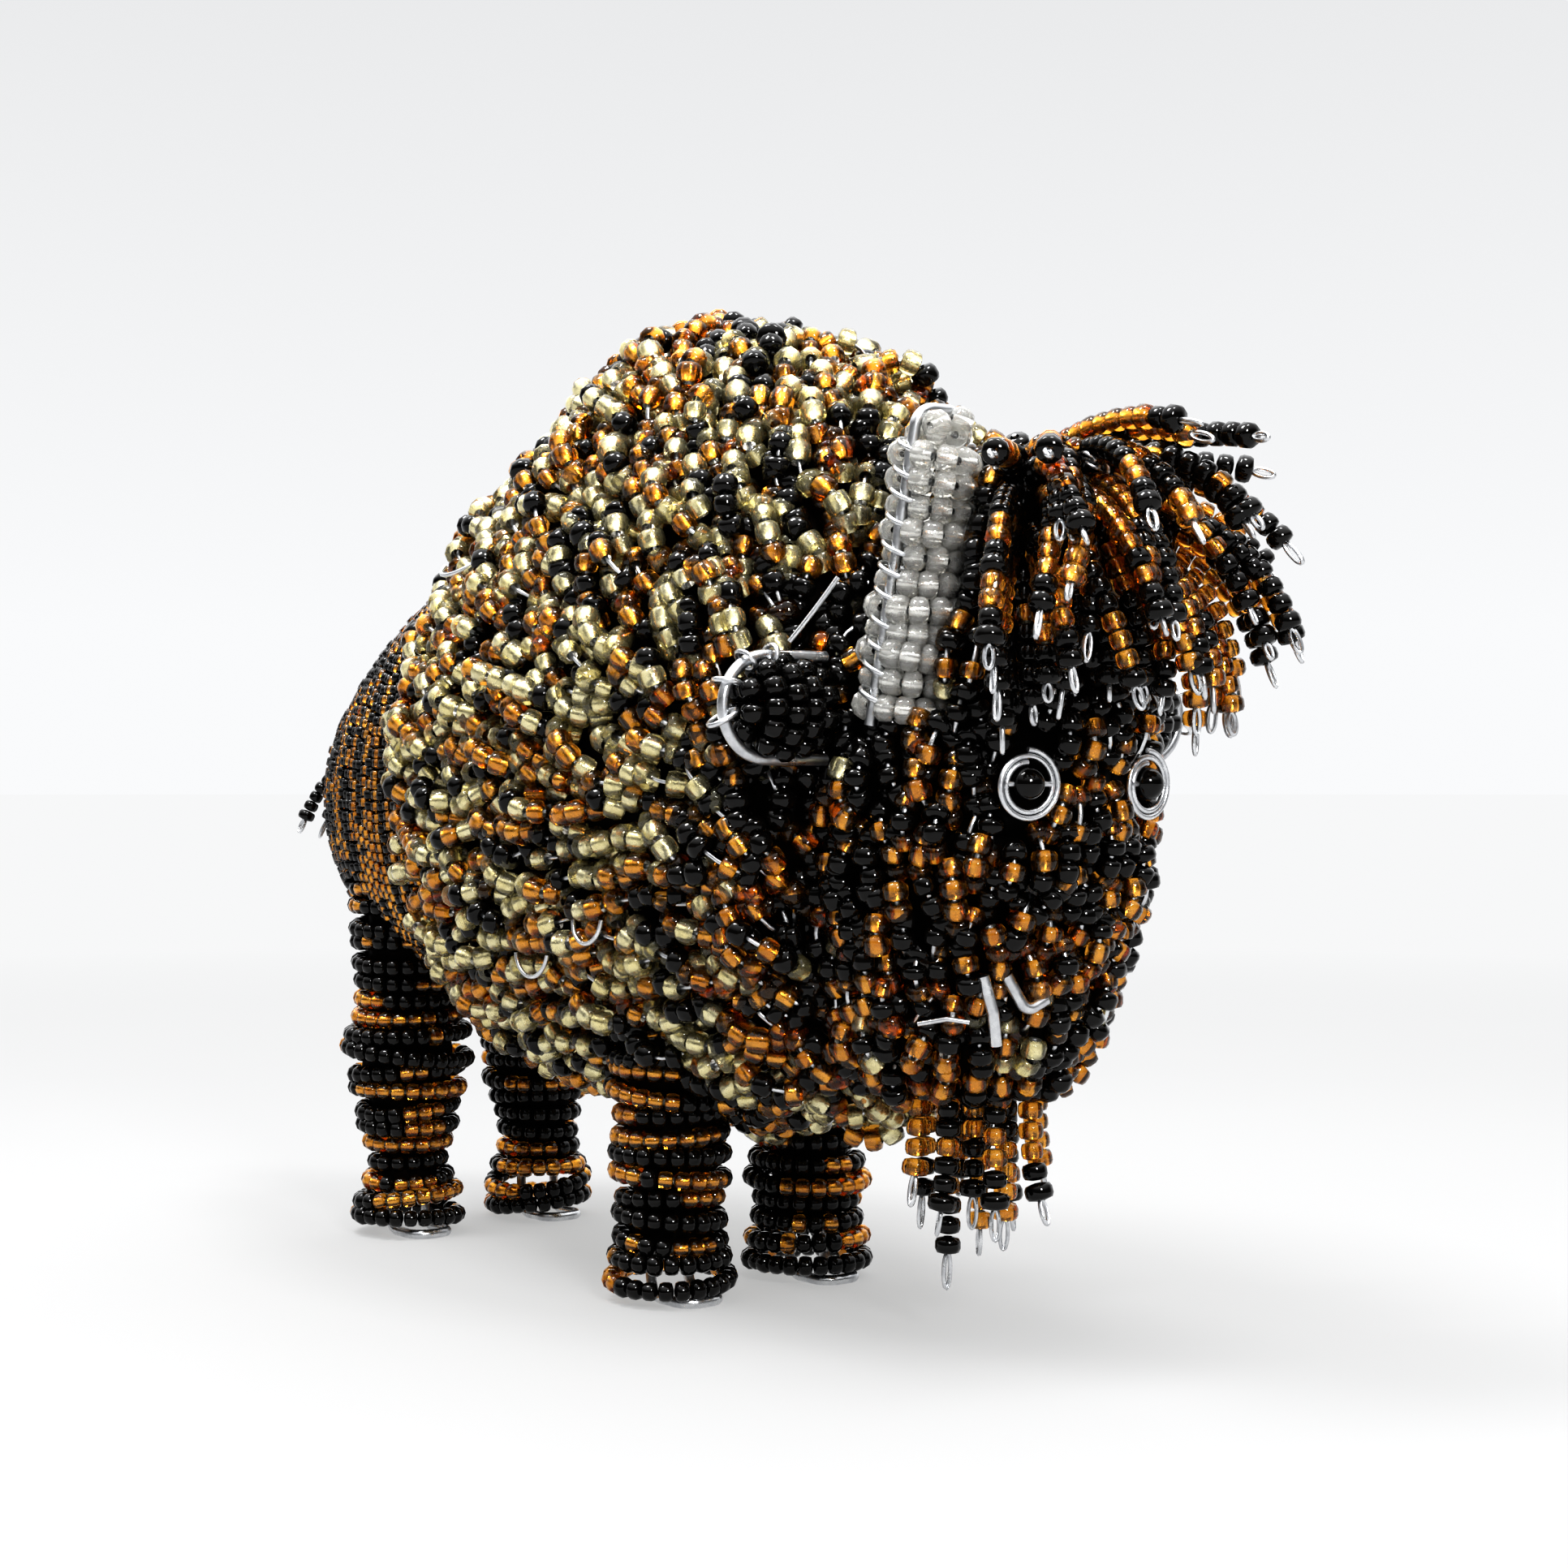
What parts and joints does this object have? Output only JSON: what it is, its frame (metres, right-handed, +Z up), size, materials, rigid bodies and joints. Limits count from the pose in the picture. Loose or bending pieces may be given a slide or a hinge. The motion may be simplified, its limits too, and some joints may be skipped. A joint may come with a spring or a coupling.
{
  "type": "beaded animal figure",
  "caption": "Small standing bison figure strung from glass seed beads over a bent wire frame, with clear bead horns, beaded forelock and beard, and wire ring eyes.",
  "frame": {"origin": "on the surface it stands on, under the middle of the whole figure", "axes": "+Z up, -Y the way it faces, +X its left side"},
  "size_m": [0.061, 0.1582, 0.1079],
  "materials": {
    "light_fur_beads": "silver-lined champagne, amber and black seed beads",
    "dark_fur_beads": "black and silver-lined amber seed beads",
    "brown_beads": "small black and dark amber seed beads",
    "clear_beads": "clear crystal seed beads",
    "black_beads": "opaque glossy black glass",
    "frame_wire": "drawn bright wire, 1.2 mm",
    "thin_wire": "drawn bright wire, 0.5 mm"
  },
  "bodies": {
    "figure": {"back_fur": "light_fur_beads", "beard_strands": "dark_fur_beads", "beard_wire_loops": "thin_wire", "belly_fur": "light_fur_beads", "belly_wire": "frame_wire", "body_hoops": "frame_wire", "chest_fur": "light_fur_beads", "face_fur": "dark_fur_beads", "forelock_strands": "dark_fur_beads", "forelock_wire_loops": "thin_wire", "front_left_leg_beads": "brown_beads", "front_left_leg_frame": "frame_wire", "front_right_leg_beads": "brown_beads", "front_right_leg_frame": "frame_wire", "head_hoops": "frame_wire", "hind_left_leg_beads": "brown_beads", "hind_left_leg_frame": "frame_wire", "hind_right_leg_beads": "brown_beads", "hind_right_leg_frame": "frame_wire", "hindquarters_beads": "brown_beads", "hump_fur": "light_fur_beads", "left_ear_beads": "black_beads", "left_ear_frame": "frame_wire", "left_eye_wire": "thin_wire", "left_horn_beads": "clear_beads", "left_horn_frame": "frame_wire", "left_horn_lashing": "thin_wire", "loose_wire_ends": "thin_wire", "mouth_wire": "thin_wire", "neck_fur": "dark_fur_beads", "nose_hook": "frame_wire", "nose_prong": "frame_wire", "right_ear_beads": "black_beads", "right_ear_frame": "frame_wire", "right_eye_wire": "thin_wire", "right_horn_beads": "clear_beads", "right_horn_frame": "frame_wire", "right_horn_lashing": "thin_wire", "spine_wire": "frame_wire", "tail_strands": "brown_beads", "tail_wire_loops": "thin_wire"},
    "right_eye": {"right_eye_bead": "black_beads"},
    "left_eye": {"left_eye_bead": "black_beads"}
  },
  "joints": [
    {"name": "right_eye_bead_spin", "type": "hinge", "parent": "figure", "child": "right_eye", "pos_m": [-0.00943, -0.06164, 0.057], "axis": [0.9622, -0.2723, 0], "continuous": true},
    {"name": "left_eye_bead_spin", "type": "hinge", "parent": "figure", "child": "left_eye", "pos_m": [0.0059, -0.06306, 0.057], "axis": [0.9959, 0.0906, 0], "continuous": true}
  ]
}
